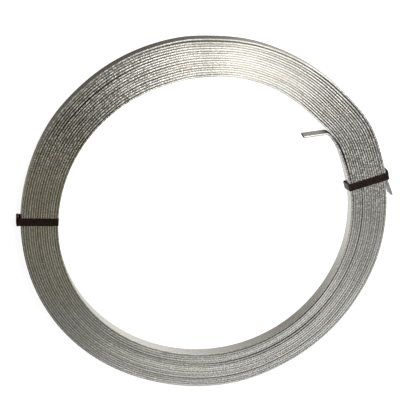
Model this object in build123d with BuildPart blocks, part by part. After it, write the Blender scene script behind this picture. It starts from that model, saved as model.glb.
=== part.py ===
"""A coil of galvanised flat steel strip, lying on its end and bound with two black straps.

One length of strip is wound in sixteen close turns round an open eye. The inner end is bent into
the eye, the outer end springs off the last turn under the right strap, and each strap is closed on
the outer wall by a crimped seal. Lengths are millimetres and angles are degrees. The coil's axis
is +Z and the floor is z = 0.
"""

import os
from math import asin, cos, degrees, radians, sin, sqrt, tan

from build123d import *

# Strip
strip_width = 25.0
strip_thickness = 4.0
edge_crown = 1.0

# Winding
turn_count = 16
bore_radius = 300.0
winding_gap = 0.8
groove_depth = 1.7

# Both free ends leave from this far inside the winding's walls
end_bite = 0.4

# Inner end, bent out of the first turn into the eye
inner_end_azimuth_angle = 32.6
inner_end_bend_angle = 65.0
inner_end_bend_radius = 11.0
inner_end_length = 45.0

# Outer end, sprung off the last turn from under the right strap
outer_end_bend_angle = 10.0
outer_end_bend_radius = 40.0
outer_end_length = 46.0

# Straps, each skewed about the middle of the winding
strap_width = 16.0
strap_thickness = 1.0
strap_corner_radius = 2.4
strap_clearance = 0.2
strap_lap_length = 21.0
strap_azimuth_angles = {"left": 177.2, "right": 10.35}
strap_skew_angles = {"left": -1.0, "right": 4.5}

# Seals, each a sleeve round both layers of its strap, with rolled edges
seal_length = 17.0
seal_thickness = 0.8
seal_bead_radius = 2.6

# Places worked out from the sizes above
turn_pitch = strip_thickness + winding_gap
outer_radius = bore_radius + turn_count * turn_pitch - winding_gap
middle_radius = (bore_radius + outer_radius) / 2
coil_bottom = strap_thickness + strap_clearance
coil_top = coil_bottom + strip_width
coil_middle = (coil_bottom + coil_top) / 2
end_drop = strap_clearance / 2
sleeve_depth = 2 * (strap_thickness + strap_clearance)
sleeve_width = strap_width + 2 * strap_clearance


def polar(radius, azimuth):
    """The plan point at a radius and an azimuth about the coil's axis."""
    return (radius * cos(radians(azimuth)), radius * sin(radians(azimuth)))


def strap_heading(side):
    """The plan direction in which a strap runs outwards across the winding."""
    return strap_azimuth_angles[side] + strap_skew_angles[side]


def strap_offset(side):
    """How far a strap's middle line passes the coil's axis, because of its skew."""
    return middle_radius * sin(radians(strap_skew_angles[side]))


# Along the right strap's heading, the sprung end rises from under one edge to the seal's far edge
sprung_start_lean = asin((strap_width / 2 - strap_offset("right")) / outer_radius)
sprung_lean = sprung_start_lean + radians(outer_end_bend_angle)
sprung_bend_radius = outer_end_bend_radius - strip_thickness / 2
sprung_bend_run = sprung_bend_radius * (sin(sprung_lean) - sin(sprung_start_lean))
sprung_bend_rise = sprung_bend_radius * (cos(sprung_start_lean) - cos(sprung_lean))
sprung_run = (strap_width + sleeve_width) / 2 - sprung_bend_run
sprung_rise = sprung_bend_rise + sprung_run * tan(sprung_lean)
sprung_reach = (outer_radius - end_bite) * cos(sprung_start_lean) + sprung_rise
sprung_azimuth = strap_heading("right") + degrees(sprung_start_lean)

# Along each strap's heading, how far out its lapped ends meet: the seal clears what lies under it
lap_reach = {
    "left": outer_radius + seal_bead_radius + strap_clearance,
    "right": sprung_reach + (seal_bead_radius + strap_clearance) / cos(sprung_lean),
}


def eye_reach(side):
    """Along a strap's heading, how far out its inner leg can stand with both edges clear of the bore."""
    edge_offset = strap_width / 2 + abs(strap_offset(side))
    return sqrt((bore_radius - strap_clearance) ** 2 - edge_offset**2)


def strap_plane(side):
    """The upright plane of a strap's middle line, with x outwards along its heading and y up."""
    heading = strap_heading(side)
    aside = polar(strap_offset(side), heading - 90)
    return Plane((*aside, 0), x_dir=(*polar(1, heading), 0), z_dir=(*polar(1, heading - 90), 0))


def upper_end():
    """The winding's upper end from the eye outwards: a crest on each turn, a groove between turns."""
    points = [(bore_radius, coil_top - edge_crown)]
    for turn in range(turn_count):
        start = bore_radius + turn * turn_pitch
        points.append((start + strip_thickness / 2, coil_top))
        points.append((start + strip_thickness + winding_gap / 2, coil_top - groove_depth))
    points[-1] = (outer_radius, coil_top - edge_crown)
    return points


def lower_end():
    """The winding's lower end, on the floor side: one slope for each turn, leaning to and fro."""
    points = [(bore_radius, coil_bottom + edge_crown)]
    for turn in range(1, turn_count):
        rise = groove_depth if turn % 2 == 0 else 0
        points.append((bore_radius + turn * turn_pitch - winding_gap / 2, coil_bottom + rise))
    points.append((outer_radius, coil_bottom + edge_crown))
    return points


def strip_section():
    """The strip's own section, thickness by width, with both narrow edges crowned."""
    half_thickness = strip_thickness / 2
    half_width = strip_width / 2
    shoulder = half_width - edge_crown
    return [
        (half_thickness, -shoulder),
        (half_thickness, shoulder),
        (0, half_width),
        (-half_thickness, shoulder),
        (-half_thickness, -shoulder),
        (0, -half_width),
    ]


def strip_end(start_radius, azimuth, heading, bend_radius, bend_turn, straight_length):
    """Adds a free strip end to the part: one bend away from the winding and a straight run.

    heading is the plan direction in which the strip leaves the winding.
    """
    with BuildLine(Plane.XY.offset(coil_middle - end_drop)) as run:
        bend = JernArc(
            start=polar(start_radius, azimuth),
            tangent=polar(1, heading),
            radius=bend_radius,
            arc_size=bend_turn,
        )
        Line(bend @ 1, (bend @ 1) + (bend % 1) * straight_length)
    with BuildSketch(Plane(bend @ 0, x_dir=(*polar(1, azimuth), 0), z_dir=bend % 0)) as section:
        with BuildLine():
            Polyline(*strip_section(), close=True)
        make_face()
    sweep(sections=section.sketch.faces(), path=run.wires()[0])


os.makedirs("parts", exist_ok=True)

# Winding with its two free ends
with BuildPart() as strip_coil:
    with BuildSketch(Plane.XZ):
        with BuildLine():
            Polyline(*upper_end(), *reversed(lower_end()), close=True)
        make_face()
    revolve(axis=Axis.Z)
    strip_end(
        start_radius=bore_radius + end_bite + strip_thickness / 2,
        azimuth=inner_end_azimuth_angle,
        heading=inner_end_azimuth_angle + 90,
        bend_radius=inner_end_bend_radius,
        bend_turn=inner_end_bend_angle,
        straight_length=inner_end_length,
    )
    strip_end(
        start_radius=outer_radius - end_bite - strip_thickness / 2,
        azimuth=sprung_azimuth,
        heading=sprung_azimuth - 90,
        bend_radius=outer_end_bend_radius,
        bend_turn=outer_end_bend_angle,
        straight_length=outer_end_length,
    )
strip_coil.part.label = "strip_coil"
export_step(strip_coil.part, "parts/strip_coil.step")

# Straps round the winding, each with its two ends lapped on the outer wall and held by a seal
for side, lap_face in lap_reach.items():
    outer_face = lap_face - strap_thickness
    inside = (outer_face - eye_reach(side), strip_width + 2 * strap_clearance)
    outside = tuple(size + 2 * strap_thickness for size in inside)

    with BuildPart() as strap:
        with BuildSketch(strap_plane(side)):
            with Locations(((eye_reach(side) + outer_face) / 2, coil_middle)):
                RectangleRounded(*outside, strap_corner_radius)
                RectangleRounded(*inside, strap_corner_radius - strap_thickness, mode=Mode.SUBTRACT)
            with Locations((lap_face + strap_thickness / 2, coil_middle)):
                Rectangle(strap_thickness, strap_lap_length)
        extrude(amount=strap_width / 2, both=True)
    strap.part.label = f"strap_{side}"
    export_step(strap.part, f"parts/strap_{side}.step")

    seal_foot = strap_plane(side).from_local_coords((lap_face, coil_middle - seal_length / 2, 0))

    with BuildPart() as seal:
        with BuildSketch(Plane(seal_foot, x_dir=(*polar(1, strap_heading(side)), 0))):
            Rectangle(sleeve_depth + 2 * seal_thickness, sleeve_width)
            with GridLocations(0, sleeve_width, 1, 2):
                Circle(seal_bead_radius)
            Rectangle(sleeve_depth, sleeve_width, mode=Mode.SUBTRACT)
        extrude(amount=seal_length)
    seal.part.label = f"seal_{side}"
    export_step(seal.part, f"parts/seal_{side}.step")
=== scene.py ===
"""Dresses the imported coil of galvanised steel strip.

The strip is one ribbon, wound clockwise and outwards from its bent inner end to its sprung outer end,
with the tight and loose stretches of the winding. Each strap is a band carried round the winding, and
each seal is a crimped sleeve round the strap's lapped ends. Lengths are metres, angles are degrees, and
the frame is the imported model's own: the coil's axis is +Z and the floor is z = 0.
"""

import logging
import math
from dataclasses import dataclass
from enum import Enum

import bpy
import numpy as np
from mathutils import Matrix, Vector


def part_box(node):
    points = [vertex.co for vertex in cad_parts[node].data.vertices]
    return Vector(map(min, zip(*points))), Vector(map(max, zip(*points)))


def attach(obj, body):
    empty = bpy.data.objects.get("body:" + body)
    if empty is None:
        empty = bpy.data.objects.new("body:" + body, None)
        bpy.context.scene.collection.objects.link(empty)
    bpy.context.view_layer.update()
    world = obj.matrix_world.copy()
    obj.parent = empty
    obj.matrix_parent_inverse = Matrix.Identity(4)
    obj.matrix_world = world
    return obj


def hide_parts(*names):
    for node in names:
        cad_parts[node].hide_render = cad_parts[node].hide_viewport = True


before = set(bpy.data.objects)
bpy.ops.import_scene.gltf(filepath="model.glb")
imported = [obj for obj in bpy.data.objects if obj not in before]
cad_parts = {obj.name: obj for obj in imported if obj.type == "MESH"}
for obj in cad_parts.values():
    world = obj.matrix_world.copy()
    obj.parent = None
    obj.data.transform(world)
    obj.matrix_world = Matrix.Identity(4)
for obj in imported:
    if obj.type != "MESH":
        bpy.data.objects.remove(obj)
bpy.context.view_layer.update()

log = logging.getLogger("steel_coil")

MM = 0.001
FULL_TURN = 360.0

Colour = tuple[float, float, float]
Place = tuple[float, float, float]
Span = tuple[float, float]
Socket = bpy.types.NodeSocket
Feed = Socket | float | tuple


class Side(Enum):
    """The two sides of the eye that carry a strap."""

    LEFT = "left"
    RIGHT = "right"


class Slot(Enum):
    """The record's material slots."""

    ZINC = "zinc_strip"
    STRAP = "black_strap"
    SEAL = "seal_steel"


class Kind(Enum):
    """What a shared effect's socket carries."""

    NUMBER = "NodeSocketFloat"
    PLACE = "NodeSocketVector"
    COLOUR = "NodeSocketColor"


# Where the straps cross the middle of the winding
STRAP_AZIMUTHS = {Side.RIGHT: 10.35, Side.LEFT: 177.2}


# Shapes as arrays


def bell(position: np.ndarray, centre: float, spread: float) -> np.ndarray:
    """A bump of height one, e to the minus square of the distance from its centre in spreads."""
    return np.exp(-(((position - centre) / spread) ** 2))


def ease(share: np.ndarray) -> np.ndarray:
    """Half a cosine wave, rising from 0 to 1 as the share does, and level beyond both ends."""
    return (1 - np.cos(np.pi * np.clip(share, 0, 1))) / 2


def azimuth_from(azimuth: np.ndarray, centre: float) -> np.ndarray:
    """The signed angle from a centre azimuth, between minus and plus half a turn."""
    half = FULL_TURN / 2
    return np.mod(azimuth - centre + half, FULL_TURN) - half


def round_table(azimuth: np.ndarray, table: dict[float, float]) -> np.ndarray:
    """Reads values set at a few azimuths, with half cosine waves between them all round the coil.

    Args:
        azimuth: Where to read, in degrees.
        table: Azimuths in rising order and the value at each.

    Returns:
        The value at each azimuth.
    """
    keys = np.array(list(table))
    values = np.array(list(table.values()))
    keys = np.append(keys, keys[0] + FULL_TURN)
    values = np.append(values, values[0])
    place = np.mod(azimuth - keys[0], FULL_TURN) + keys[0]
    index = np.clip(np.searchsorted(keys, place, side="right") - 1, 0, len(keys) - 2)
    share = (place - keys[index]) / (keys[index + 1] - keys[index])
    return values[index] + (values[index + 1] - values[index]) * ease(share)


def drift(position: np.ndarray, spacing: float, seed: int) -> np.ndarray:
    """Slow wandering between -1 and 1: seeded values one spacing apart, joined by half cosine waves.

    Args:
        position: Where to read.
        spacing: How far apart the seeded values are.
        seed: What the values are drawn from.

    Returns:
        The wandering value at each position.
    """
    place = (position - position.min()) / spacing
    index = place.astype(int)
    values = np.random.default_rng(seed).uniform(-1, 1, index.max() + 2)
    return values[index] + (values[index + 1] - values[index]) * ease(place - index)


def length_along(points: np.ndarray) -> np.ndarray:
    """How far along a path or round a section each of its points lies, from the first."""
    steps = np.linalg.norm(np.diff(points, axis=0), axis=1)
    return np.concatenate([[0.0], np.cumsum(steps)])


def grid_mesh(name: str, points: np.ndarray, ring: bool = False) -> bpy.types.Mesh:
    """Makes a closed mesh from a grid: rows follow a path, and columns close round its section.

    Each quad joins a point, its neighbour round the section and the same two in the next row. Where the
    path isn't a ring, the first and last rows become end faces. If the volume enclosed, the sum of each
    triangle's corner a . (b x c) / 6, comes out negative, every face is turned round.

    Args:
        name: The mesh's name.
        points: Array of rows by columns by three, in metres.
        ring: Whether the last row joins the first.

    Returns:
        The mesh, with smooth sides and flat end faces.
    """
    rows, columns = points.shape[:2]
    corner = np.arange(rows * columns).reshape(rows, columns)
    here = corner if ring else corner[:-1]
    ahead = np.roll(corner, -1, axis=0)[: len(here)]
    quads = np.stack([here, np.roll(here, -1, 1), np.roll(ahead, -1, 1), ahead], axis=-1).reshape(-1, 4)
    flat = points.reshape(-1, 3)
    a, b, c, d = (flat[quads[:, k]] for k in range(4))
    volume = np.sum(np.cross(a, b) * c) + np.sum(np.cross(a, c) * d)
    ends = [] if ring else [corner[0, ::-1], corner[-1]]
    step = 1 if volume > 0 else -1
    faces = quads[:, ::step].tolist() + [end[::step].tolist() for end in ends]
    mesh = bpy.data.meshes.new(name)
    mesh.from_pydata(flat, [], faces)
    smooth = np.ones(len(faces), dtype=bool)
    smooth[len(quads):] = False
    mesh.polygons.foreach_set("use_smooth", smooth)
    mesh.update()
    return mesh


def store(mesh: bpy.types.Mesh, name: str, values: np.ndarray, grid: tuple[int, int]) -> None:
    """Keeps one number for each vertex of a grid on its mesh, for its material to read.

    Args:
        mesh: A mesh made from a grid.
        name: The number's name.
        values: The numbers, which may be one for a whole row or column.
        grid: The grid's rows and columns.
    """
    attribute = mesh.attributes.new(name, "FLOAT", "POINT")
    spread = np.broadcast_to(values, grid)
    attribute.data.foreach_set("value", np.ascontiguousarray(spread, dtype=np.float32).ravel())


def show(mesh: bpy.types.Mesh, material: bpy.types.Material, node: str) -> bpy.types.Object:
    """Puts a finished mesh in the scene in place of a CAD node, riding on the one body.

    Args:
        mesh: The mesh, already in place, with the piece's name.
        material: Its finish.
        node: The CAD node that it stands for.

    Returns:
        The new object.
    """
    piece = bpy.data.objects.new(mesh.name, mesh)
    mesh.materials.append(material)
    bpy.context.scene.collection.objects.link(piece)
    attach(piece, "root")
    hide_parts(node)
    log.info("%s: %d faces, for %s", mesh.name, len(mesh.polygons), node)
    return piece


def rounded_band(width: float, thickness: float, edge_points: int, face_points: int) -> np.ndarray:
    """A band's section as (across, out) points: two flat faces joined by half round edges.

    Args:
        width: The band's width over its round edges.
        thickness: Its thickness, which is the edges' diameter.
        edge_points: Points on each half round.
        face_points: Points on each flat face, between the edges.

    Returns:
        Array of points by two, once round the section.
    """
    radius = thickness / 2
    half = width / 2 - radius
    turn = np.linspace(-np.pi / 2, np.pi / 2, edge_points)
    right = np.stack([half + radius * np.cos(turn), radius * np.sin(turn)], axis=1)
    across = np.linspace(half, -half, face_points + 2)[1:-1]
    upper = np.stack([across, np.full_like(across, radius)], axis=1)
    return np.concatenate([right, upper, -right, -upper])


# Materials


class NodeSheet:
    """Adds nodes to a shader tree and links them, with sockets and plain values treated alike."""

    def __init__(self, tree: bpy.types.NodeTree) -> None:
        """Starts with an empty tree."""
        self.tree = tree
        tree.nodes.clear()

    def add(
        self, kind: str, inputs: dict[str | int, Feed] | None = None, **settings: object
    ) -> bpy.types.Node:
        """Adds one node.

        Args:
            kind: The node's type.
            inputs: Its inputs by name or number: a socket is linked, and anything else is set.
            settings: The node's own settings.

        Returns:
            The new node.
        """
        node = self.tree.nodes.new(kind)
        for name, value in settings.items():
            setattr(node, name, value)
        for key, value in (inputs or {}).items():
            if isinstance(value, Socket):
                self.tree.links.new(value, node.inputs[key])
            else:
                node.inputs[key].default_value = value
        return node

    def group(self, tree: bpy.types.NodeTree, inputs: dict[str, Feed]) -> bpy.types.NodeOutputs:
        """Places a shared effect and gives its outputs."""
        return self.add("ShaderNodeGroup", inputs, node_tree=tree).outputs

    def math(self, operation: str, first: Feed, second: Feed = 0.0) -> Socket:
        """One sum, product or other step on two numbers."""
        return self.add("ShaderNodeMath", {0: first, 1: second}, operation=operation).outputs[0]

    def span(self, value: Socket, source: Span, target: Span = (0.0, 1.0)) -> Socket:
        """Spreads a value's range smoothly over another range."""
        inputs = {"Value": value, 1: source[0], 2: source[1], 3: target[0], 4: target[1]}
        return self.add("ShaderNodeMapRange", inputs, interpolation_type="SMOOTHSTEP").outputs[0]

    def blend(self, share: Feed, first: Socket | Colour, second: Socket | Colour) -> Socket:
        """Mixes two colours."""
        inputs = {0: share, 6: opaque(first), 7: opaque(second)}
        return self.add("ShaderNodeMix", inputs, data_type="RGBA").outputs[2]

    def noise(self, place: Socket, scale: Feed, detail: Feed, rough: float) -> Socket:
        """Cloudy noise about one half, read at a place."""
        inputs = {"Vector": place, "Scale": scale, "Detail": detail, "Roughness": rough}
        return self.add("ShaderNodeTexNoise", inputs).outputs[0]

    def attribute(self, name: str) -> Socket:
        """One of the mesh's own numbers."""
        return self.add("ShaderNodeAttribute", attribute_name=name).outputs["Fac"]

    def thinned(self, name: str, pattern: Socket, source: Span, target: Span = (0.0, 1.0)) -> Socket:
        """One of the mesh's own numbers, times a pattern spread over a range."""
        return self.math("MULTIPLY", self.attribute(name), self.span(pattern, source, target))

    def place(self) -> Socket:
        """Where on the object a point is."""
        return self.add("ShaderNodeTexCoord").outputs["Object"]

    def bump(self, height: Socket, depth: float, strength: float) -> Socket:
        """The normal of a surface that is raised by a height."""
        inputs = {"Height": height, "Distance": depth, "Strength": strength}
        return self.add("ShaderNodeBump", inputs).outputs[0]

    def surface(self, inputs: dict[str, Feed]) -> None:
        """Ends a material with its one shader."""
        shader = self.add("ShaderNodeBsdfPrincipled", inputs)
        self.add("ShaderNodeOutputMaterial", {"Surface": shader.outputs[0]})


def opaque(colour: Socket | Colour) -> Socket | tuple:
    """A colour with its alpha, or a socket as it is."""
    return colour if isinstance(colour, Socket) else (*colour, 1.0)


def new_material(name: str) -> tuple[bpy.types.Material, NodeSheet]:
    """An empty node material and the sheet that fills it.

    Args:
        name: The material's name.

    Returns:
        The material and its sheet.
    """
    material = bpy.data.materials.new(name)
    material.use_nodes = True
    return material, NodeSheet(material.node_tree)


def new_effect(
    name: str, inputs: dict[str, Kind], outputs: dict[str, Kind]
) -> tuple[bpy.types.NodeTree, NodeSheet, bpy.types.NodeOutputs]:
    """Starts a shader node group with named sockets.

    Args:
        name: The group's name.
        inputs: Socket names and kinds.
        outputs: Socket names and kinds.

    Returns:
        The group, its sheet, and the sockets that bring in its inputs.
    """
    tree = bpy.data.node_groups.new(name, "ShaderNodeTree")
    for way, sockets in (("INPUT", inputs), ("OUTPUT", outputs)):
        for key, kind in sockets.items():
            tree.interface.new_socket(name=key, in_out=way, socket_type=kind.value)
    sheet = NodeSheet(tree)
    return tree, sheet, sheet.add("NodeGroupInput").outputs


@dataclass(frozen=True)
class Effects:
    """The surface effects that several finishes share."""

    lines: bpy.types.NodeTree
    grime: bpy.types.NodeTree
    rust: bpy.types.NodeTree

    @classmethod
    def make(cls) -> "Effects":
        """Builds each shared effect once."""
        return cls(lines=cls.drawn_lines(), grime=cls.grime_patches(), rust=cls.rust_bloom())

    @staticmethod
    def drawn_lines() -> bpy.types.NodeTree:
        """Fine lines along a strip's length: noise drawn out along the run and packed across it.

        Returns:
            The node group.
        """
        names = dict.fromkeys(("Run", "Girth", "Length", "Pitch", "Detail"), Kind.NUMBER)
        tree, sheet, given = new_effect("drawn lines", names, {"Value": Kind.NUMBER})
        along = sheet.math("DIVIDE", given["Run"], given["Length"])
        across = sheet.math("DIVIDE", given["Girth"], given["Pitch"])
        place = sheet.add("ShaderNodeCombineXYZ", {0: along, 1: across}).outputs[0]
        value = sheet.noise(place, scale=1.0, detail=given["Detail"], rough=0.6)
        sheet.add("NodeGroupOutput", {"Value": value})
        return tree

    @staticmethod
    def grime_patches() -> bpy.types.NodeTree:
        """Patches of dirt: large clouds broken up by small ones, cut off where the amount is low.

        Returns:
            The node group.
        """
        patchy_edge = (0.72, 1.12)
        names = {"Place": Kind.PLACE, "Patch": Kind.NUMBER, "Amount": Kind.NUMBER}
        tree, sheet, given = new_effect("grime patches", names, {"Mask": Kind.NUMBER})
        scale = sheet.math("DIVIDE", 1.0, given["Patch"])
        clouds = sheet.noise(given["Place"], scale, detail=5.0, rough=0.62)
        mask = sheet.span(sheet.math("ADD", clouds, given["Amount"]), patchy_edge)
        sheet.add("NodeGroupOutput", {"Mask": mask})
        return tree

    @staticmethod
    def rust_bloom() -> bpy.types.NodeTree:
        """Rust: a patchy mask, and a colour that wanders between dark and bright brown.

        Returns:
            The node group.
        """
        sharp_edge = (0.85, 1.1)
        shades = (0.35, 0.7)
        names = {"Place": Kind.PLACE, "Patch": Kind.NUMBER, "Amount": Kind.NUMBER}
        names |= {"Dark": Kind.COLOUR, "Bright": Kind.COLOUR}
        results = {"Mask": Kind.NUMBER, "Colour": Kind.COLOUR}
        tree, sheet, given = new_effect("rust bloom", names, results)
        scale = sheet.math("DIVIDE", 1.0, given["Patch"])
        clouds = sheet.noise(given["Place"], scale, detail=6.0, rough=0.7)
        mask = sheet.span(sheet.math("ADD", clouds, given["Amount"]), sharp_edge)
        colour = sheet.blend(sheet.span(clouds, shades), given["Dark"], given["Bright"])
        sheet.add("NodeGroupOutput", {"Mask": mask, "Colour": colour})
        return tree


@dataclass(frozen=True)
class ZincFinish:
    """Hot-dip galvanised steel: dull zinc with painted light and shade, drawn lines, flecks with painted
    glints and shade specks, soil and patina that also paint shade, painted shade in the gaps and rusty cut
    ends.
    """

    pale: Colour = (0.68, 0.67, 0.64)
    dark: Colour = (0.42, 0.415, 0.395)
    # Near white: the painted highlight on the palest zinc and the painted glints among the flecks
    bright: Colour = (0.95, 0.94, 0.90)
    # Dark: the painted shade specks among the flecks
    deep: Colour = (0.13, 0.122, 0.108)
    cool: Colour = (0.27, 0.285, 0.30)
    # Olive soil, which on the coil's left side also paints the shade there
    soil_and_shade: Colour = (0.258, 0.224, 0.12)
    # Dark brown patina, which on the outer wall at the upper left and the bore wall at the lower right
    # also paints the shade there
    patina_and_shade: Colour = (0.115, 0.09, 0.058)
    # Near black: painted shade in the gaps between turns, and the inner end's painted root shadow
    gap_shade: Colour = (0.02, 0.015, 0.012)
    rust_dark: Colour = (0.032, 0.013, 0.009)
    rust_bright: Colour = (0.12, 0.045, 0.026)
    metal_to_dirt: Span = (0.7, 0.0)
    rough_to_dirt: Span = (0.40, 0.75)
    line_length: float = 70 * MM
    line_pitch: float = 1.0 * MM
    line_detail: float = 4.0
    line_span: Span = (0.2, 0.8)
    tone_span: Span = (0.25, 0.75)
    shine_span: Span = (0.9, 1.6)
    soil_on_lines: Span = (1.0, 0.7)
    patina_on_lines: Span = (1.0, 0.85)
    fleck_length: float = 3 * MM
    fleck_pitch: float = 6 * MM
    fleck_detail: float = 1.5
    fleck_depth: float = 0.4 * MM
    dark_flecks: Span = (0.36, 0.50)
    bright_flecks: Span = (0.50, 0.62)
    gap_flecks: Span = (0.25, 0.75)
    gap_on_flecks: Span = (1.0, 0.8)
    rust_patch: float = 3 * MM

    def make(self, effects: Effects) -> bpy.types.Material:
        """Builds the material in layers, from clean zinc to rust.

        The strip's own numbers steer it: run and girth place the lines and flecks, tone, cool, soil,
        fleck, patina, gap and cut are the layers' amounts, and satin is added to the roughness. The tone
        paints light and shade, soil and patina also paint shade, fleck paints glints and shade specks, and
        gap paints shade between the turns.

        Args:
            effects: The shared effects.

        Returns:
            The material.
        """
        material, sheet = new_material("galvanised strip")
        ribbon = {"Run": sheet.attribute("run"), "Girth": sheet.attribute("girth")}
        drawn = {"Length": self.line_length, "Pitch": self.line_pitch, "Detail": self.line_detail}
        lines = sheet.group(effects.lines, ribbon | drawn)["Value"]
        broken = {"Length": self.fleck_length, "Pitch": self.fleck_pitch, "Detail": self.fleck_detail}
        flecks = sheet.group(effects.lines, ribbon | broken)["Value"]
        # The tone carries painted light and shade by azimuth, with random change from turn to turn
        tone = sheet.math("ADD", lines, sheet.attribute("tone"))
        zinc = sheet.blend(sheet.span(tone, self.tone_span), self.dark, self.pale)
        # The highest tones are painted up to a near-white highlight
        zinc = sheet.blend(sheet.span(tone, self.shine_span), zinc, self.bright)
        zinc = sheet.blend(sheet.attribute("cool"), zinc, self.cool)
        # Soil, with painted shade on the coil's left side
        soil_and_shade = sheet.thinned("soil_and_shade", lines, self.line_span, self.soil_on_lines)
        zinc = sheet.blend(soil_and_shade, zinc, self.soil_and_shade)
        # Flecks of the zinc's own speckle, painted dark as shade specks and near white as glints
        shaded = sheet.thinned("fleck", flecks, self.dark_flecks, (1.0, 0.0))
        zinc = sheet.blend(shaded, zinc, self.deep)
        zinc = sheet.blend(sheet.thinned("fleck", flecks, self.bright_flecks), zinc, self.bright)
        # Patina, with painted shade on the outer wall and the bore wall
        dull = sheet.thinned("patina_and_shade", lines, self.line_span, self.patina_on_lines)
        zinc = sheet.blend(dull, zinc, self.patina_and_shade)
        # Painted shade down the gaps between turns, and the painted shadow at the inner end's root
        gap = sheet.thinned("gap", flecks, self.gap_flecks, self.gap_on_flecks)
        zinc = sheet.blend(gap, zinc, self.gap_shade)
        bloom = {"Place": sheet.place(), "Patch": self.rust_patch, "Amount": sheet.attribute("cut")}
        bloom |= {"Dark": opaque(self.rust_dark), "Bright": opaque(self.rust_bright)}
        rust = sheet.group(effects.rust, bloom)
        # The painted gap shade, the patina with its painted shade, and the rust make the zinc rougher and
        # less metallic
        shade_patina_rust = sheet.math("MAXIMUM", sheet.math("MAXIMUM", gap, dull), rust["Mask"])
        rough = sheet.span(shade_patina_rust, (0.0, 1.0), self.rough_to_dirt)
        sheet.surface({
            "Base Color": sheet.blend(rust["Mask"], zinc, rust["Colour"]),
            "Metallic": sheet.span(shade_patina_rust, (0.0, 1.0), self.metal_to_dirt),
            "Roughness": sheet.math("ADD", rough, sheet.attribute("satin")),
            "Normal": sheet.bump(flecks, self.fleck_depth, strength=1.0),
        })
        return material


@dataclass(frozen=True)
class StrapFinish:
    """Black plastic strapping: fine drawn ridges, brownish scuffs on them and a little dust."""

    sheen: float = 0.05
    black: Colour = (0.008, 0.005, 0.004)
    scuffed: Colour = (0.021, 0.012, 0.009)
    dust: Colour = (0.075, 0.055, 0.04)
    ridge_length: float = 40 * MM
    ridge_pitch: float = 0.9 * MM
    ridge_detail: float = 4.0
    scuff_span: Span = (0.45, 0.75)
    ridge_span: Span = (0.3, 0.8)
    rough_on_ridges: Span = (0.22, 0.38)
    dust_patch: float = 4 * MM
    dust_amount: float = 0.38
    dust_share: float = 0.27
    bump_depth: float = 0.15 * MM
    bump_strength: float = 0.6

    def make(self, effects: Effects) -> bpy.types.Material:
        """Builds the material from the band's own run and girth numbers.

        Args:
            effects: The shared effects.

        Returns:
            The material.
        """
        material, sheet = new_material("black strapping")
        drawn = {"Length": self.ridge_length, "Pitch": self.ridge_pitch, "Detail": self.ridge_detail}
        drawn |= {"Run": sheet.attribute("run"), "Girth": sheet.attribute("girth")}
        ridges = sheet.group(effects.lines, drawn)["Value"]
        colour = sheet.blend(sheet.span(ridges, self.scuff_span), self.black, self.scuffed)
        patches = {"Place": sheet.place(), "Patch": self.dust_patch, "Amount": self.dust_amount}
        dusty = sheet.math("MULTIPLY", sheet.group(effects.grime, patches)["Mask"], self.dust_share)
        sheet.surface({
            "Base Color": sheet.blend(dusty, colour, self.dust),
            "Roughness": sheet.span(ridges, self.ridge_span, self.rough_on_ridges),
            "Specular IOR Level": self.sheen,
            "Normal": sheet.bump(ridges, self.bump_depth, self.bump_strength),
        })
        return material


@dataclass(frozen=True)
class SealFinish:
    """Dark lacquered steel, with rust where the crimping tool broke the lacquer."""

    sheen: float = 0.1
    lacquer: Colour = (0.012, 0.006, 0.005)
    wear_and_shade: Colour = (0.05, 0.022, 0.017)
    rust_dark: Colour = (0.26, 0.062, 0.042)
    rust_bright: Colour = (0.45, 0.125, 0.085)
    rust_patch: float = 6 * MM
    wear_patch: float = 3 * MM
    wear_amount: float = 0.3
    rough_to_rust: Span = (0.5, 0.85)
    grain_detail: float = 5.0
    grain_rough: float = 0.7
    bump_depth: float = 0.2 * MM
    bump_strength: float = 0.5

    def make(self, effects: Effects) -> bpy.types.Material:
        """Builds the material, with the amount of rust read from the sleeve's own number.

        Args:
            effects: The shared effects.

        Returns:
            The material.
        """
        material, sheet = new_material("crimped seal")
        place = sheet.place()
        patches = {"Place": place, "Patch": self.wear_patch, "Amount": self.wear_amount}
        colour = sheet.blend(sheet.group(effects.grime, patches)["Mask"], self.lacquer, self.wear_and_shade)
        bloom = {"Place": place, "Patch": self.rust_patch, "Amount": sheet.attribute("rust")}
        bloom |= {"Dark": opaque(self.rust_dark), "Bright": opaque(self.rust_bright)}
        rust = sheet.group(effects.rust, bloom)
        grain = sheet.noise(place, 1 / self.wear_patch, self.grain_detail, self.grain_rough)
        sheet.surface({
            "Base Color": sheet.blend(rust["Mask"], colour, rust["Colour"]),
            "Roughness": sheet.span(rust["Mask"], (0.0, 1.0), self.rough_to_rust),
            "Specular IOR Level": self.sheen,
            "Normal": sheet.bump(grain, self.bump_depth, self.bump_strength),
        })
        return material


# Wound strip


@dataclass(frozen=True)
class Stretch:
    """A stretch of the coil about one azimuth, which fades to both sides as a bell."""

    azimuth: float
    spread: float
    strength: float = 1.0

    def at(self, azimuth: np.ndarray) -> np.ndarray:
        """The stretch's strength times its bell, at each azimuth."""
        return self.strength * bell(azimuth_from(azimuth, self.azimuth), 0, self.spread)


@dataclass(frozen=True)
class Gap:
    """Where two turns stand apart: the turn inside, where and how far the gap opens, and how dark its
    painted shade is.
    """

    turn: int
    azimuth: float
    spread: float
    opening: float
    darkness: float = 1.0


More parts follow.
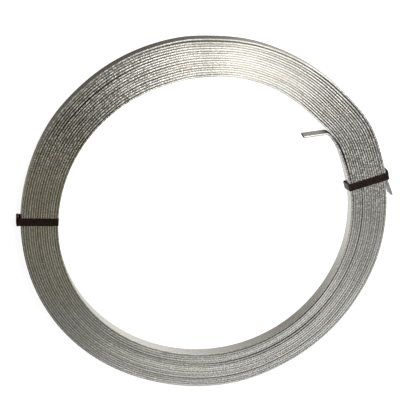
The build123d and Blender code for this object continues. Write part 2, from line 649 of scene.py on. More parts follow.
# The gaps that show as dark lines between the turns, opening in multiples of the usual gap, each
# with the darkness of its painted shade
OPEN_GAPS = (
    Gap(turn=0, azimuth=312, spread=34, opening=2.6),
    Gap(turn=0, azimuth=22, spread=14, opening=2.2),
    Gap(turn=4, azimuth=305, spread=30, opening=3.2),
    Gap(turn=4, azimuth=352, spread=22, opening=1.0, darkness=0.9),
    Gap(turn=5, azimuth=305, spread=28, opening=2.6),
    Gap(turn=2, azimuth=238, spread=18, opening=0.6, darkness=0.5),
    Gap(turn=3, azimuth=244, spread=18, opening=0.8, darkness=0.6),
    Gap(turn=8, azimuth=310, spread=30, opening=1.2, darkness=0.6),
    Gap(turn=11, azimuth=295, spread=45, opening=1.4, darkness=0.5),
    Gap(turn=10, azimuth=133, spread=18, opening=1.3),
    Gap(turn=14, azimuth=80, spread=24, opening=2.8, darkness=0.3),
    Gap(turn=15, azimuth=40, spread=25, opening=1.4),
    Gap(turn=14, azimuth=38, spread=20, opening=1.3),
    Gap(turn=13, azimuth=40, spread=20, opening=1.2),
    Gap(turn=12, azimuth=44, spread=20, opening=1.1),
    Gap(turn=11, azimuth=40, spread=20, opening=0.9),
)

# By azimuth, in millimetres: the usual gap between turns, how far the turns lean outwards, and the first
# turn's inner face
USUAL_GAPS = {
    0: 0.57, 20: 0.52, 45: 0.68, 66: 0.5, 78: 0.52, 110: 1.15, 138: 0.87,
    165: 0.7, 228: 0.48, 275: 0.58, 300: 0.4,
}
LEANS = {10: 2.2, 46: 0.0, 190: 0.0, 228: 2.2, 262: 0.6, 285: 0.0, 325: 0.5}
EYE_RADII = {
    0: 297, 16: 296, 31: 300, 46: 297.5, 65: 300, 78: 300.6, 92: 298, 106: 296.2, 125: 297.5,
    160: 298, 200: 300, 240: 298, 285: 300.5, 340: 298,
}

# By azimuth: the share of the usual gap that tight stretches close, how dark the painted shade in
# the gaps is, how strongly the zinc is flecked with painted glints and shade specks, and how much
# paler or darker it is as painted light and shade, with the bore wall's own painted light and shade
CLOSING = {8: 0.8, 26: 0.0, 48: 0.0, 68: 0.7, 88: 0.7, 112: 0.0, 145: 0.0, 175: 1.0, 345: 1.0}
# Painted shade in the gaps, by azimuth
GAP_SHADE = {
    0: 0.3, 22: 1.0, 40: 1.3, 62: 0.3, 75: 0.0, 92: 0.0, 112: 0.5, 140: 1.2, 164: 0.2, 340: 0.2,
}
# How strongly the zinc is flecked with painted glints and shade specks, by azimuth
FLECKING = {
    18: 0.7, 42: 0.3, 75: 0.12, 95: 0.28, 120: 0.72, 145: 0.45, 168: 0.17, 250: 0.2, 310: 0.2,
    350: 0.25,
}
# Painted light and shade: paler where the coil catches the light, darker where it is shaded
ZINC_LIGHT_AND_SHADE = {
    8: -0.38, 20: -0.36, 48: 0.22, 64: 0.12, 78: 0.22, 90: -0.14, 105: 0.31, 125: -0.08, 152: -0.5,
    180: -0.05, 212: -0.3, 240: 0.0, 285: -0.15, 325: 0.0, 345: -0.1,
}
# Painted light and shade on the bore wall: paler at some azimuths than at others
BORE_LIGHT_AND_SHADE = {8: 0.7, 40: 0.4, 180: 0.3, 228: 0.75, 258: 0.25, 275: 0.15, 335: 0.25}


@dataclass(frozen=True)
class FreeEnd:
    """A free end of the strip: one bend to the left, away from the winding, and a straight run."""

    bend_radius: float
    bend_turn: float
    length: float
    step: float = 1.5 * MM
    bend_step: float = 4.0
    least_points: int = 6

    def plan(self, start: np.ndarray, heading: float) -> np.ndarray:
        """The end's middle line from a start point: an arc about a centre to its left, then straight on.

        Args:
            start: The last point on the winding.
            heading: The direction in which it leaves.

        Returns:
            Array of points by two, without the start.
        """
        points = max(self.least_points, math.ceil(self.bend_turn / self.bend_step))
        begin = math.radians(heading)
        turned = begin + np.radians(np.linspace(0, self.bend_turn, points)[1:])
        centre = start + self.bend_radius * np.array([-math.sin(begin), math.cos(begin)])
        arc = centre + self.bend_radius * np.stack([np.sin(turned), -np.cos(turned)], axis=1)
        away = np.array([math.cos(turned[-1]), math.sin(turned[-1])])
        along = np.linspace(0, self.length, math.ceil(self.length / self.step))[1:]
        return np.concatenate([arc, arc[-1] + along[:, None] * away])


@dataclass(frozen=True)
class Ribbon:
    """The strip's section, and its middle line with one row for each step from tip to tip.

    The count is in turns from the root, where the winding begins. It and the azimuth stay level along
    the free ends. The flank is each section point's place from the inner face, -1, to the outer, 1.
    """

    section: np.ndarray
    flank: np.ndarray
    plan: np.ndarray
    run: np.ndarray
    count: np.ndarray
    azimuth: np.ndarray
    root_run: float
    on_winding: np.ndarray
    on_outer_end: np.ndarray


@dataclass
class WoundStrip:
    """The galvanised strip, from its inner end through the winding to its outer end."""

    # Section and path
    thickness: float = 4 * MM
    crown: float = 1.0 * MM
    shoulder: float = 0.6 * MM
    edge_points: int = 9
    face_share: float = 0.98
    turns: float = 16.0614
    root_azimuth: float = 33.0
    climb_turns: float = 0.055
    steps_per_turn: int = 220
    inner_end: FreeEnd = FreeEnd(bend_radius=11 * MM, bend_turn=62.0, length=45 * MM)
    outer_end: FreeEnd = FreeEnd(bend_radius=40 * MM, bend_turn=8.3, length=43.5 * MM)

    # Unevenness
    gap_turns: float = 0.09
    gap_range: float = 0.45
    lift: float = 0.35 * MM
    lift_turns: float = 0.11
    top: Stretch = Stretch(azimuth=92, spread=42, strength=0.75 * MM)
    outermost_drop: float = 2.3
    strap_reach: float = 6.0
    bow: float = 1.8 * MM
    loose: Stretch = Stretch(azimuth=17, spread=14, strength=0.8)
    loose_turns: float = 0.008
    band: Stretch = Stretch(azimuth=120, spread=26)
    band_turns: float = 2.2

    # Dirt, painted light and shade, and tone
    # Soil with painted shade on the coil's left side
    soiled_and_shaded: Stretch = Stretch(azimuth=168, spread=50, strength=0.75)
    soil_floor: float = 0.08
    soil_range: float = 0.08
    soil_turns: float = 0.23
    # Patina with painted shade on the outermost turn's outer wall at the upper left
    outer_patina_and_shade: Stretch = Stretch(azimuth=118, spread=45, strength=0.85)
    outer_patina_floor: float = 0.15
    # Patina with painted shade on the first turn's face towards the eye at the lower right
    inner_patina_and_shade: Stretch = Stretch(azimuth=312, spread=34, strength=0.62)
    inner_patina_start: float = 0.7
    inner_patina_reach: float = 0.6
    end_patina: float = 0.5
    # Where the painted gap shade starts across the section, and how far it reaches
    shade_start: float = 0.35
    shade_reach: float = 0.5
    root_shade_reach: float = 7 * MM
    tone_turns: float = 0.13
    tone_range: float = 0.25
    # Painted shade that darkens the last turns at the upper right
    wear_and_shade: Stretch = Stretch(azimuth=24, spread=15, strength=0.5)
    worn_turns: float = 3.0
    satin: Stretch = Stretch(azimuth=78, spread=28, strength=0.22)
    band_cool: float = 0.85
    end_cool: float = 0.7
    # How much of the painted gap shade the outer band loses
    band_shade_cut: float = 0.8
    band_calming: float = 0.4
    end_flecking: float = 0.2
    wall_flecking: float = 0.12
    cut_rust: float = 0.75
    cut_reach: float = 1.5 * MM

    def by_gap(self, gap: Gap, count: np.ndarray) -> np.ndarray:
        """An open gap's bell, about the turn count at which its own turn passes it."""
        place = gap.turn + ((self.root_azimuth - gap.azimuth) % FULL_TURN) / FULL_TURN
        return bell(count, place, gap.spread / FULL_TURN)

    def last_turns(self, count: np.ndarray, turns: float, fade: float) -> np.ndarray:
        """One on the last few turns, rising from none over the fade."""
        return ease((count - (self.turns - turns)) / fade)

    def outer_band(self, count: np.ndarray, azimuth: np.ndarray) -> np.ndarray:
        """Where the last few turns lie smooth and tight, at the upper left."""
        return self.last_turns(count, self.band_turns, self.lift_turns) * self.band.at(azimuth)

    def gaps(self, count: np.ndarray, azimuth: np.ndarray) -> np.ndarray:
        """The gap outside the strip at each turn count.

        It is the usual gap times a weight: one, with some slow wandering, plus each open gap's bell.

        Args:
            count: Turn counts.
            azimuth: The azimuth at each.

        Returns:
            The gap at each.
        """
        weight = 1 + self.gap_range * drift(count, self.gap_turns, seed=21)
        for gap in OPEN_GAPS:
            weight += gap.opening * self.by_gap(gap, count)
        return round_table(azimuth, USUAL_GAPS) * MM * weight

    def winding(self) -> tuple[np.ndarray, np.ndarray, np.ndarray]:
        """Works out the wound length, turn on turn.

        The first turn lies on the eye's wall. Near the root it climbs by one turn's pitch, half of it
        before the root and half after. Every later turn lies one thickness and one gap outside the turn
        before, and so climbs there too.

        Returns:
            The turn count, the azimuth and the inner face's radius along the winding.
        """
        share = np.arange(self.steps_per_turn) / self.steps_per_turn
        layers = np.arange(math.ceil(self.turns))
        count = layers[:, None] + share
        azimuth = self.root_azimuth - FULL_TURN * count
        pitch = self.thickness + self.gaps(count, azimuth)
        climbed = ease(share / self.climb_turns + 0.5) + ease((share - 1) / self.climb_turns + 0.5) - 1
        first = round_table(azimuth[0], EYE_RADII) * MM + pitch[0, 0] * climbed
        radius = first + np.cumsum(pitch, axis=0) - pitch
        wound = count.ravel() <= self.turns
        return count.ravel()[wound], azimuth.ravel()[wound], radius.ravel()[wound]

    def section(self, width: float) -> np.ndarray:
        """The strip's section as (outwards, up) points, from the middle of the lower edge round.

        Each narrow edge is half an ellipse: outwards is half the thickness times the cosine, and up is
        the crown times the sine. Three points on each wall keep the walls flat.

        Args:
            width: The strip's width over both crowns.

        Returns:
            Array of points by two.
        """
        half = self.thickness / 2
        top = width / 2 - self.crown
        wall = top - self.shoulder
        turn = np.linspace(0, np.pi, self.edge_points)
        edge = np.stack([half * np.cos(turn), top + self.crown * np.sin(turn)], axis=1)
        inner_wall = np.array([[-half, wall], [-half, 0], [-half, -wall]])
        loop = np.concatenate([edge, inner_wall, -edge, -inner_wall])
        lowest = self.edge_points + len(inner_wall) + self.edge_points // 2
        return np.roll(loop, -lowest, axis=0)

    def ribbon(self, width: float) -> Ribbon:
        """Joins the winding and both free ends, which leave it along its first and last directions.

        Args:
            width: The strip's width.

        Returns:
            The strip's section and middle line.
        """
        count, azimuth, radius = self.winding()
        turn = np.radians(azimuth)
        middle = radius + self.thickness / 2
        wound = middle[:, None] * np.stack([np.cos(turn), np.sin(turn)], axis=1)
        inner = self.inner_end.plan(wound[0], azimuth[0] + FULL_TURN / 4)
        outer = self.outer_end.plan(wound[-1], azimuth[-1] - FULL_TURN / 4)
        plan = np.concatenate([inner[::-1], wound, outer])
        run = length_along(plan)
        padding = (len(inner), len(outer))
        section = self.section(width)
        return Ribbon(
            section=section,
            flank=section[:, 0] / (self.thickness / 2),
            plan=plan,
            run=run,
            count=np.pad(count, padding, mode="edge"),
            azimuth=np.pad(azimuth, padding, mode="edge"),
            root_run=run[len(inner)],
            on_winding=np.pad(np.ones(len(wound), dtype=bool), padding),
            on_outer_end=np.arange(len(plan)) >= len(plan) - len(outer),
        )

    def lifts(self, ribbon: Ribbon) -> np.ndarray:
        """How far each place on the strip stands above its usual height.

        Turns wander up and down, and at the top the winding stands proud of its outermost turn. Nothing
        is lifted under the straps.

        Args:
            ribbon: The strip's section and middle line.

        Returns:
            The lift at each step.
        """
        outermost = self.last_turns(ribbon.count, 1, self.lift_turns)
        rise = self.top.at(ribbon.azimuth) * (1 - self.outermost_drop * outermost)
        wander = self.lift * drift(ribbon.count, self.lift_turns, seed=4)
        free = np.ones_like(ribbon.azimuth)
        for azimuth in STRAP_AZIMUTHS.values():
            free *= 1 - Stretch(azimuth, self.strap_reach).at(ribbon.azimuth)
        return (rise + wander) * free

    def bows(self, ribbon: Ribbon) -> np.ndarray:
        """How far the strip's outer face bows out at half its height, to touch the next turn.

        A loose stretch below the inner end bows less in places, and lets light through between turns.

        Args:
            ribbon: The strip's section and middle line.

        Returns:
            The bow at each step.
        """
        wander = 0.5 + 0.5 * drift(ribbon.count, self.loose_turns, seed=7)
        touching = np.minimum(self.gaps(ribbon.count, ribbon.azimuth), self.bow)
        touching *= 1 - self.loose.at(ribbon.azimuth) * wander
        return touching * (ribbon.count < self.turns - 1)

    def closings(self, ribbon: Ribbon) -> np.ndarray:
        """How far the outer face's two shoulders stand out to the next turn, where turns are tight.

        Args:
            ribbon: The strip's section and middle line.

        Returns:
            The distance at each step.
        """
        usual = round_table(ribbon.azimuth, USUAL_GAPS) * MM
        usual = np.minimum(usual, self.gaps(ribbon.count, ribbon.azimuth))
        band = self.outer_band(ribbon.count, ribbon.azimuth)
        share = np.maximum(round_table(ribbon.azimuth, CLOSING), band)
        return usual * share * (ribbon.count < self.turns - 1)

    def leans(self, ribbon: Ribbon) -> np.ndarray:
        """How far the strip's upper edge stands outside its lower edge, from none at the inner end."""
        return round_table(ribbon.azimuth, LEANS) * MM * ease(ribbon.count / self.climb_turns)

    def surface(self, ribbon: Ribbon, low: float, high: float) -> np.ndarray:
        """Carries the section along the ribbon, square to its middle line.

        Each section point stands out by its own distance, plus the bow or the closing on the outer
        face, plus the lean times its share of the height.

        Args:
            ribbon: The strip's section and middle line.
            low: The height of the strip's lower edge.
            high: The height of its upper edge.

        Returns:
            Array of steps by section points by three.
        """
        ahead = np.gradient(ribbon.plan, axis=0)
        ahead /= np.linalg.norm(ahead, axis=1, keepdims=True)
        outwards = np.stack([-ahead[:, 1], ahead[:, 0]], axis=1)
        across, up = ribbon.section.T
        outer_face = ribbon.flank > self.face_share
        at_middle = up == 0
        out = across + self.bows(ribbon)[:, None] * (outer_face & at_middle)
        out += self.closings(ribbon)[:, None] * (outer_face & ~at_middle)
        out += self.leans(ribbon)[:, None] * (up / (high - low) + 0.5)
        height = (low + high) / 2 + self.lifts(ribbon)
        points = np.empty((*out.shape, 3))
        points[..., :2] = ribbon.plan[:, None, :] + out[..., None] * outwards[:, None, :]
        points[..., 2] = height[:, None] + up
        return points

    def soil_and_shade(self, ribbon: Ribbon) -> np.ndarray:
        """How soiled the strip is along its length: in patches, and more on the left, where the soil also
        paints the shade.
        """
        wander = self.soil_range * drift(ribbon.count, self.soil_turns, seed=9)
        return np.clip(self.soil_floor + self.soiled_and_shaded.at(ribbon.azimuth) + wander, 0, 1)

    def patina_and_shade(self, ribbon: Ribbon) -> np.ndarray:
        """How dulled each vertex is by patina, with painted shade, on the winding's two bare walls, and by
        patina alone on the inner end's outer face.

        Args:
            ribbon: The strip's section and middle line.

        Returns:
            The amount at each vertex.
        """
        outer = self.outer_patina_floor + self.outer_patina_and_shade.at(ribbon.azimuth)
        outer *= self.last_turns(ribbon.count, 1, self.lift_turns)
        inner = self.inner_patina_and_shade.at(ribbon.azimuth) * ease((1 - ribbon.count) / self.lift_turns)
        tail = self.end_patina * (ribbon.count <= 0)
        towards_eye = ease((self.inner_patina_start - ribbon.flank) / self.inner_patina_reach)
        outer_face = ribbon.flank > self.face_share
        return np.maximum(outer, tail)[:, None] * outer_face + inner[:, None] * towards_eye

    def darkness(self, count: np.ndarray, azimuth: np.ndarray) -> np.ndarray:
        """The painted shade in the gap outside the strip: the usual shade, giving way to each open gap's
        own.

        Args:
            count: Turn counts.
            azimuth: The azimuth at each.

        Returns:
            The dirt at each.
        """
        shade_cut = self.band_shade_cut * self.outer_band(count, azimuth)
        darkness = round_table(azimuth, GAP_SHADE) * (1 - shade_cut)
        for gap in OPEN_GAPS:
            darkness += (gap.darkness - darkness) * self.by_gap(gap, count)
        return darkness

    def gap_shade(self, ribbon: Ribbon) -> np.ndarray:
        """How much painted shade each vertex has from the gap on its side of the strip.

        The painted shade grows from none on an edge's crown to its most down the side. The faces towards
        the eye and the open air have none, and a free end has only a painted shadow on its outer face,
        near the root.

        Args:
            ribbon: The strip's section and middle line.

        Returns:
            The amount at each vertex.
        """
        outside = self.darkness(ribbon.count, ribbon.azimuth) * (ribbon.count < self.turns - 1)
        inside = self.darkness(ribbon.count - 1, ribbon.azimuth) * (ribbon.count > 1)
        down = ease((np.abs(ribbon.flank) - self.shade_start) / self.shade_reach)
        darkness = np.clip(np.where(ribbon.flank > 0, outside[:, None], inside[:, None]) * down, 0, 1)
        # Painted shadow on the inner end's outer face, near its root
        shade = bell(ribbon.run, ribbon.root_run - self.root_shade_reach, self.root_shade_reach)
        on_end = shade[:, None] * (ribbon.flank > self.face_share)
        return np.where(ribbon.on_winding[:, None], darkness, on_end)

    def bore_wall(self, ribbon: Ribbon) -> np.ndarray:
        """Which vertices are on the first turn's face towards the eye."""
        first = (ribbon.count > 0) & (ribbon.count < 1)
        return first[:, None] & (ribbon.flank < -self.face_share)

    def tones(self, ribbon: Ribbon) -> np.ndarray:
        """How much paler or darker than usual the zinc is at each vertex.

        The azimuth's tone paints light and shade: paler where the coil is lit and darker where it is
        shaded. It wanders from turn to turn, is lower with painted shade on the last turns at the upper
        right, and has the bore wall's own painted light and shade there.

        Args:
            ribbon: The strip's section and middle line.

        Returns:
            The change at each vertex.
        """
        tone = self.tone_range * drift(ribbon.count, self.tone_turns, seed=12)
        # Painted light and shade by azimuth
        tone += round_table(ribbon.azimuth, ZINC_LIGHT_AND_SHADE)
        last = self.last_turns(ribbon.count, self.worn_turns, self.worn_turns)
        # Painted shade on the last turns at the upper right
        tone -= last * self.wear_and_shade.at(ribbon.azimuth)
        # Painted light and shade on the bore wall
        change = round_table(ribbon.azimuth, BORE_LIGHT_AND_SHADE)
        return tone[:, None] + change[:, None] * self.bore_wall(ribbon)

    def flecks(self, ribbon: Ribbon) -> np.ndarray:
        """How strongly the zinc is flecked with painted glints and shade specks: less on the free ends,
        the outer band and the bore wall.

        Args:
            ribbon: The strip's section and middle line.

        Returns:
            The amount at each vertex.
        """
        calmed = self.band_calming * self.outer_band(ribbon.count, ribbon.azimuth)
        flecked = round_table(ribbon.azimuth, FLECKING) * (1 - calmed)
        flecked *= np.where(ribbon.on_winding, 1.0, self.end_flecking)
        on_wall = np.minimum(flecked, self.wall_flecking)
        return np.where(self.bore_wall(ribbon), on_wall[:, None], flecked[:, None])

    def build(self, material: bpy.types.Material) -> bpy.types.Object:
        """Makes the strip in place of the turned solid, with the numbers that its finish reads.

        Args:
            material: The piece's finish.

        Returns:
            The piece.
        """
        low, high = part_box("strip_coil")
        ribbon = self.ribbon(high.z - low.z)
        mesh = grid_mesh("wound_strip", self.surface(ribbon, low.z, high.z))
        from_end = np.minimum(ribbon.run, ribbon.run[-1] - ribbon.run)
        band = self.outer_band(ribbon.count, ribbon.azimuth)
        numbers = {
            "run": ribbon.run[:, None],
            "girth": length_along(ribbon.section),
            "satin": self.satin.at(ribbon.azimuth)[:, None],
            "soil_and_shade": self.soil_and_shade(ribbon)[:, None],
            "cool": np.maximum(self.band_cool * band, self.end_cool * ribbon.on_outer_end)[:, None],
            "cut": self.cut_rust * np.exp(-from_end / self.cut_reach)[:, None],
            "tone": self.tones(ribbon),
            "fleck": self.flecks(ribbon),
            "patina_and_shade": self.patina_and_shade(ribbon),
            "gap": self.gap_shade(ribbon),
        }
        for name, values in numbers.items():
            store(mesh, name, values, grid=(len(ribbon.plan), len(ribbon.section)))
        return show(mesh, material, "strip_coil")


# Straps and seals


@dataclass
class Strap:
    """A black strap round the winding, with its ends lapped on the outer wall."""

    side: Side
    skew: float
    inner_reach: float
    outer_reach: float
    lean: float = 0.0
    middle_radius: float = 338 * MM
    width: float = 16 * MM
    thickness: float = 1 * MM
    corner_radius: float = 1.9 * MM
    lap_length: float = 21 * MM
    corner_points: int = 9
    edge_points: int = 5
    face_points: int = 9
    lap_points: int = 12

    def loop(self, bottom: float, top: float) -> tuple[np.ndarray, np.ndarray]:
        """The strap's middle line, a rectangle with round corners whose inner foot may lean.

        Args:
            bottom: The height of the lower run.
            top: The height of the upper run.

        Returns:
            The line as (along, height) points, and its outward normal at each.
        """
        corners = (
            (self.outer_reach, top, 0),
            (self.inner_reach, top, 90),
            (self.inner_reach - self.lean, bottom, 180),
            (self.outer_reach, bottom, 270),
        )
        middle = np.array([self.inner_reach + self.outer_reach, bottom + top]) / 2
        turned = np.linspace(0, np.pi / 2, self.corner_points)
        points, normals = [], []
        for along, height, begin in corners:
            angle = math.radians(begin) + turned
            normal = np.stack([np.cos(angle), np.sin(angle)], axis=1)
            corner = np.array([along, height])
            points.append(corner + self.corner_radius * (normal - np.sign(corner - middle)))
            normals.append(normal)
        return np.concatenate(points), np.concatenate(normals)

    def lap(self, middle: float) -> tuple[np.ndarray, np.ndarray]:
        """The lapped end's upright middle line about a height, and its outward normal.

        Args:
            middle: The height of its middle.

        Returns:
            The line as (along, height) points, and its outward normal at each.
        """
        half = self.lap_length / 2
        heights = np.linspace(middle - half, middle + half, self.lap_points)
        along = np.full_like(heights, self.outer_reach + self.thickness)
        return np.stack([along, heights], axis=1), np.tile([1.0, 0.0], (len(heights), 1))

    def band(self, name: str, line: np.ndarray, normal: np.ndarray, ring: bool) -> bpy.types.Mesh:
        """Carries the band's section along a line of (along, height) points.

        The strap runs out along its heading, and its middle line passes the coil's axis at the middle
        radius times the sine of its skew.

        Args:
            name: The mesh's name.
            line: The middle line.
            normal: Its outward normal at each point.
            ring: Whether the line closes.

        Returns:
            The band, with the run and girth that its finish reads.
        """
        section = rounded_band(self.width, self.thickness, self.edge_points, self.face_points)
        skew = math.radians(self.skew)
        heading = math.radians(STRAP_AZIMUTHS[self.side]) + skew
        along = line[:, 0, None] + normal[:, 0, None] * section[:, 1]
        height = line[:, 1, None] + normal[:, 1, None] * section[:, 1]
        aside = np.broadcast_to(section[:, 0] - self.middle_radius * math.sin(skew), along.shape)
        x = along * math.cos(heading) - aside * math.sin(heading)
        y = along * math.sin(heading) + aside * math.cos(heading)
        mesh = grid_mesh(name, np.stack([x, y, height], axis=-1), ring)
        store(mesh, "run", length_along(line)[:, None], along.shape)
        store(mesh, "girth", length_along(section), along.shape)
        return mesh

    def build(self, material: bpy.types.Material) -> bpy.types.Object:
        """Makes the loop and the lapped end, joined as one band.

        Args:
            material: The piece's finish.

        Returns:
            The piece.
        """
        node = f"strap_{self.side.value}"
        low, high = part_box(node)
        half = self.thickness / 2
        loop = self.band("loop", *self.loop(low.z + half, high.z - half), ring=True)
        lap = self.band("lap", *self.lap((low.z + high.z) / 2), ring=False)
        return show(joined(f"{node}_band", [loop, lap]), material, node)


def joined(name: str, meshes: list[bpy.types.Mesh]) -> bpy.types.Mesh:
    """Joins meshes with the same numbers into one mesh.

    Args:
        name: The new mesh's name.
        meshes: What it is joined from.

    Returns:
        The one mesh.
    """
    objects = [bpy.data.objects.new(mesh.name, mesh) for mesh in meshes]
    for part in objects:
        bpy.context.scene.collection.objects.link(part)
    with bpy.context.temp_override(active_object=objects[0], selected_editable_objects=objects):
        bpy.ops.object.join()
    mesh = objects[0].data
    bpy.data.objects.remove(objects[0])
    mesh.name = name
    return mesh


@dataclass
class Seal:
    """A crimped steel sleeve that holds a strap's two ends together.

    Its crimps, rims and rust are placed by shares of its height, or of half its breadth.
    """

    side: Side
    rust: float
    swell: float
    sheet: float = 0.8 * MM
    neck: float = 1.45 * MM
    crowding: float = 0.5
    roll_sharpness: float = 5
    roundness: float = 0.6
    crimp_depth: float = 0.8 * MM
    crimp_height: float = 0.2
    crimp_spread: float = 0.09
    crimp_fade: float = 4
    rust_floor: float = 0.2
    rust_aside: float = 0.15
    rust_spread: float = 0.5
    rim_height: float = 0.45
    rim_reach: float = 0.05
    points_round: int = 96
    edge_points: int = 5
    face_points: int = 17

    def outline(self, depth: float, breadth: float) -> tuple[np.ndarray, np.ndarray]:
        """The sleeve's middle line in plan, a flat loop with fat rolled edges.

        Across the strap it follows the cosine to a low power, which crowds points to the rolled edges,
        and its depth follows the sine, narrowed to the neck between the edges.

        Args:
            depth: Half the sleeve's depth over its rolled edges.
            breadth: Half its breadth across the strap.

        Returns:
            The line as (out, aside) points, and its outward normal at each.
        """
        angle = np.linspace(0, 2 * np.pi, self.points_round, endpoint=False)
        cosine, sine = np.cos(angle), np.sin(angle)
        across = np.sign(cosine) * np.abs(cosine) ** self.crowding
        narrowed = self.neck + (depth - self.neck) * np.abs(across) ** self.roll_sharpness
        out = np.sign(sine) * np.abs(sine) ** self.roundness * narrowed
        out *= self.swell * depth / np.abs(out).max()
        line = np.stack([out, breadth * across], axis=1)
        ahead = np.roll(line, -1, axis=0) - np.roll(line, 1, axis=0)
        ahead /= np.linalg.norm(ahead, axis=1, keepdims=True)
        return line, np.stack([-ahead[:, 1], ahead[:, 0]], axis=1)

    def build(self, material: bpy.types.Material) -> bpy.types.Object:
        """Carries the sheet's section round the outline and crimps it in two bands.

        The breadth and depth are worked out from the solid's box, which is that of a turned rectangle.

        Args:
            material: The piece's finish.

        Returns:
            The piece.
        """
        node = f"seal_{self.side.value}"
        low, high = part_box(node)
        centre = (low + high) / 2
        lean = math.atan2(centre.y, centre.x)
        outward = np.array([math.cos(lean), math.sin(lean)])
        aside = np.array([-outward[1], outward[0]])
        reach = (high - low) / 2
        breadth = (reach.y - reach.x * abs(outward[1])) / abs(outward[0]) - self.sheet / 2
        depth = (reach.x - breadth * abs(aside[0])) / abs(outward[0]) - self.sheet / 2
        line, normal = self.outline(depth, breadth)
        section = rounded_band(high.z - low.z, self.sheet, self.edge_points, self.face_points)
        height = section[:, 0] / (high.z - low.z)
        across = line[:, 1] / breadth
        crimp = bell(height, self.crimp_height, self.crimp_spread)
        crimp = self.crimp_depth * (crimp + bell(height, -self.crimp_height, self.crimp_spread))
        pressed = crimp * (1 - np.abs(across) ** self.crimp_fade)[:, None]
        plan = line[:, None, :] + normal[:, None, :] * section[:, 1][None, :, None]
        plan[..., 0] -= np.sign(line[:, 0])[:, None] * pressed
        points = np.empty((*pressed.shape, 3))
        points[..., :2] = np.array(centre)[:2] + plan[..., :1] * outward + plan[..., 1:] * aside
        points[..., 2] = centre.z + section[:, 0]
        mesh = grid_mesh(f"{node}_sleeve", points, ring=True)
        bare = bell(across, self.rust_aside, self.rust_spread)[:, None]
        bare = bare + ease((np.abs(height) - self.rim_height) / self.rim_reach) / 2
        store(mesh, "rust", self.rust_floor + self.rust * bare, pressed.shape)
        return show(mesh, material, node)


# Studio


@dataclass(frozen=True)
class Softbox:
    """A soft lamp: where it hangs, what it faces, its size and its power."""

    name: str
    place: Place
    faces: Place
    size: tuple[float, float]
    watts: float
    colour: Colour

    def hang(self) -> None:
        """Adds the lamp, unseen by the camera."""
        lamp = bpy.data.lights.new(self.name, "AREA")
        lamp.shape = "RECTANGLE"
        lamp.size, lamp.size_y = self.size
        lamp.energy = self.watts
        lamp.color = self.colour
        holder = bpy.data.objects.new(self.name, lamp)
        holder.location = self.place
        aim = Vector(self.faces) - Vector(self.place)
        holder.rotation_euler = aim.to_track_quat("-Z", "Y").to_euler()
        holder.visible_camera = False
        bpy.context.scene.collection.objects.link(holder)


# A warm key over the coil's upper right and a cooler fill below it
LAMPS = (
    Softbox(
        name="key", place=(0.3, 0.53, 0.88), faces=(0.15, 0.26, 0.0),
        size=(0.7, 0.6), watts=13.8, colour=(1.0, 0.985, 0.95),
    ),
    Softbox(
        name="fill", place=(0.44, -0.89, 0.8), faces=(0.135, -0.27, 0.0),
        size=(0.7, 0.7), watts=3.95, colour=(0.955, 0.995, 1.0),
    ),
)


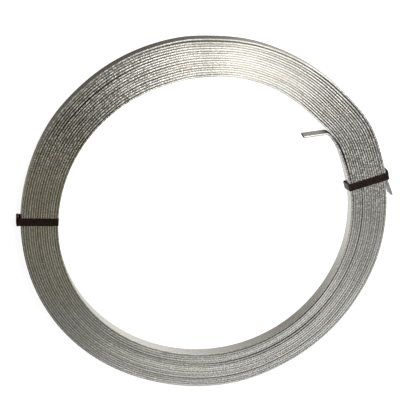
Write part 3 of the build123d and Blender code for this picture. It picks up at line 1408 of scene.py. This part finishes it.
@dataclass
class Studio:
    """White floor, soft lamps and the camera at the photograph's viewing angle."""

    floor_radius: float = 30.0
    floor_points: int = 64
    floor_white: Colour = (0.30, 0.30, 0.30)
    floor_glow: float = 0.93
    overhead: Colour = (0.08, 0.08, 0.08)
    horizon: Colour = (0.3, 0.3, 0.3)
    horizon_span: Span = (0.05, 0.45)
    target: Place = (0.0083, 0.0156, 0.0137)
    distance: float = 3.3
    tilt: float = 23.1
    tilt_azimuth: float = 113.1
    lens: float = 140.2

    def floor(self) -> None:
        """Lays a round white floor that takes the coil's shadow.

        Its white is the colour of its paint, topped up for rays that the camera and shiny surfaces see.
        """
        turn = np.linspace(0, 2 * np.pi, self.floor_points, endpoint=False)
        rim = self.floor_radius * np.stack([np.cos(turn), np.sin(turn), 0 * turn], axis=1)
        mesh = bpy.data.meshes.new("floor")
        mesh.from_pydata(rim, [], [list(range(len(rim)))])
        floor = bpy.data.objects.new("floor", mesh)
        bpy.context.scene.collection.objects.link(floor)
        material, sheet = new_material("white floor")
        path = sheet.add("ShaderNodeLightPath").outputs
        seen = sheet.math("MAXIMUM", path["Is Camera Ray"], path["Is Glossy Ray"])
        seen = sheet.math("MAXIMUM", seen, path["Is Transmission Ray"])
        paint = sheet.add("ShaderNodeBsdfDiffuse", {"Color": opaque(self.floor_white)})
        glow = sheet.add("ShaderNodeEmission", {"Strength": sheet.math("MULTIPLY", seen, self.floor_glow)})
        both = sheet.add("ShaderNodeAddShader", {0: paint.outputs[0], 1: glow.outputs[0]})
        sheet.add("ShaderNodeOutputMaterial", {"Surface": both.outputs[0]})
        mesh.materials.append(material)

    def room(self) -> None:
        """Fills the world with a grey room, pale at the horizon and dim overhead."""
        world = bpy.data.worlds.new("room")
        world.use_nodes = True
        bpy.context.scene.world = world
        sheet = NodeSheet(world.node_tree)
        way = sheet.add("ShaderNodeTexCoord").outputs["Generated"]
        height = sheet.add("ShaderNodeSeparateXYZ", {0: way}).outputs[2]
        colour = sheet.blend(sheet.span(height, self.horizon_span), self.horizon, self.overhead)
        light = sheet.add("ShaderNodeBackground", {"Color": colour, "Strength": 1.0})
        sheet.add("ShaderNodeOutputWorld", {"Surface": light.outputs[0]})

    def camera(self) -> None:
        """Stands the camera off the target, tilted from the coil's axis, with +Y up in the picture."""
        tilt, swing = math.radians(self.tilt), math.radians(self.tilt_azimuth)
        back = Vector((math.sin(tilt) * math.cos(swing), math.sin(tilt) * math.sin(swing), math.cos(tilt)))
        right = Vector((0, 1, 0)).cross(back).normalized()
        up = back.cross(right)
        place = Vector(self.target) + self.distance * back
        data = bpy.data.cameras.new("camera")
        data.lens = self.lens
        camera = bpy.data.objects.new("camera", data)
        turned = Matrix((right, up, back)).transposed().to_4x4()
        camera.matrix_world = Matrix.Translation(place) @ turned
        bpy.context.scene.collection.objects.link(camera)
        bpy.context.scene.camera = camera

    def build(self) -> None:
        """Sets the stage."""
        bpy.context.scene.view_settings.view_transform = "Standard"
        self.floor()
        self.room()
        for lamp in LAMPS:
            lamp.hang()
        self.camera()


def main() -> None:
    """Builds the studio, the strip, the straps and the seals in order."""
    logging.basicConfig(level=logging.INFO, format="%(name)s %(message)s")
    Studio().build()
    effects = Effects.make()
    WoundStrip().build(ZincFinish().make(effects))
    straps = (
        Strap(Side.LEFT, skew=-1.0, inner_reach=298.3 * MM, outer_reach=378.3 * MM),
        Strap(Side.RIGHT, skew=4.5, inner_reach=295.4 * MM, outer_reach=378.9 * MM, lean=4.5 * MM),
    )
    strapping = StrapFinish().make(effects)
    for strap in straps:
        strap.build(strapping)
    lacquer = SealFinish().make(effects)
    for seal in (Seal(Side.LEFT, rust=0.9, swell=1.0), Seal(Side.RIGHT, rust=0.15, swell=0.75)):
        seal.build(lacquer)


if __name__ == "__main__":
    main()
